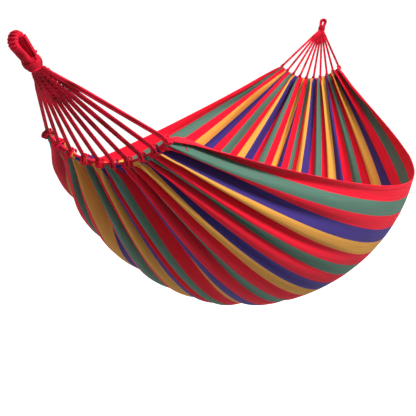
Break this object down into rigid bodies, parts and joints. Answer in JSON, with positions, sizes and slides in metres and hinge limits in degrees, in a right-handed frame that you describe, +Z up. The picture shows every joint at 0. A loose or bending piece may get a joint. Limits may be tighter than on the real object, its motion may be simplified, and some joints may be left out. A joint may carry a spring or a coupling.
{
  "type": "gathered-end cloth hammock",
  "caption": "Gathered-end striped cloth hammock hung from two fans of doubled cords, each bound by a woven plait and a collar into a wrapped eye loop.",
  "frame": {"origin": "where the near eye loop bears on its hook", "axes": "+X from the near hook to the far hook, +Z up, -Y towards the front long edge"},
  "size_m": [2.6565, 1.0646, 0.9124],
  "materials": {
    "striped_cloth": "woven canvas in red, green, purple and yellow stripes",
    "hem_cloth": "folded and stitched canvas",
    "tack_thread": "stitched thread",
    "header_cord": "braided cord",
    "harness_cord": "laid cotton cord"
  },
  "bodies": {
    "bed": {"bed_cloth": "striped_cloth", "front_side_hem": "hem_cloth", "back_side_hem": "hem_cloth", "corner_bar_tacks": "tack_thread", "near_end_hem": "hem_cloth", "near_header_rope": "header_cord", "near_cord_hitches": "harness_cord", "far_end_hem": "hem_cloth", "far_header_rope": "header_cord", "far_cord_hitches": "harness_cord"},
    "near_harness": {"near_plait": "harness_cord", "near_neck_seizing": "harness_cord", "near_neck_knot": "harness_cord", "near_cord_01": "harness_cord", "near_cord_02": "harness_cord", "near_cord_03": "harness_cord", "near_cord_04": "harness_cord", "near_cord_05": "harness_cord", "near_cord_06": "harness_cord", "near_cord_07": "harness_cord", "near_cord_08": "harness_cord", "near_cord_09": "harness_cord", "near_cord_10": "harness_cord"},
    "near_eye": {"near_eye_core": "harness_cord", "near_eye_wrap": "harness_cord", "near_eye_ridge": "harness_cord"},
    "far_harness": {"far_plait": "harness_cord", "far_neck_seizing": "harness_cord", "far_neck_knot": "harness_cord", "far_cord_01": "harness_cord", "far_cord_02": "harness_cord", "far_cord_03": "harness_cord", "far_cord_04": "harness_cord", "far_cord_05": "harness_cord", "far_cord_06": "harness_cord", "far_cord_07": "harness_cord", "far_cord_08": "harness_cord", "far_cord_09": "harness_cord", "far_cord_10": "harness_cord"},
    "far_eye": {"far_eye_core": "harness_cord", "far_eye_wrap": "harness_cord", "far_eye_ridge": "harness_cord"}
  },
  "joints": [
    {"name": "near_hang", "type": "hinge", "parent": "bed", "child": "near_harness", "pos_m": [0.294, 0, -0.2195], "axis": [0, 1, 0], "range_deg": [-15, 20]},
    {"name": "far_hang", "type": "hinge", "parent": "bed", "child": "far_harness", "pos_m": [2.336, 0, -0.2195], "axis": [0, -1, 0], "range_deg": [-15, 20]},
    {"name": "near_eye_twist", "type": "hinge", "parent": "near_harness", "child": "near_eye", "pos_m": [0, 0, 0], "axis": [0.7644, 0, -0.6448], "range_deg": [-30, 30]},
    {"name": "far_eye_twist", "type": "hinge", "parent": "far_harness", "child": "far_eye", "pos_m": [2.63, 0, 0], "axis": [0.7644, 0, 0.6448], "range_deg": [-30, 30]}
  ],
  "couplings": [
    {"joint": "far_hang", "follows": "near_hang", "ratio": 1},
    {"joint": "far_eye_twist", "follows": "near_eye_twist", "ratio": 1}
  ]
}
